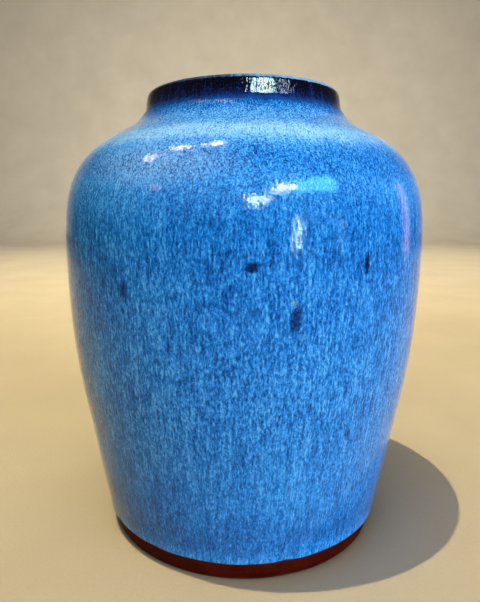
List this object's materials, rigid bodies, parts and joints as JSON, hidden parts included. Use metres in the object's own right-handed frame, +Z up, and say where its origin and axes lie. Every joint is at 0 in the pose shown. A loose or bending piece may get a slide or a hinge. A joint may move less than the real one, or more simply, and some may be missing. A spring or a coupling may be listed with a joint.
{
  "type": "pottery vase",
  "caption": "Broad-shouldered thrown stoneware vase with a short upright collar, a wide open mouth, a milky blue glaze over a dark base coat, and a bare trimmed foot ring.",
  "frame": {"origin": "centre of the foot ring on the ground plane", "axes": "+Z up along the pot's axis of turning, through the mouth; the vase is the same all round, so +X and +Y are free"},
  "size_m": [0.1553, 0.1554, 0.19],
  "materials": {
    "clay": "matte",
    "dark_glaze": "gloss",
    "blue_glaze": "gloss",
    "liner_glaze": "gloss"
  },
  "bodies": {
    "root": {"clay_body": "clay", "dark_glaze": "dark_glaze", "blue_glaze": "blue_glaze", "liner_glaze": "liner_glaze"}
  },
  "joints": []
}
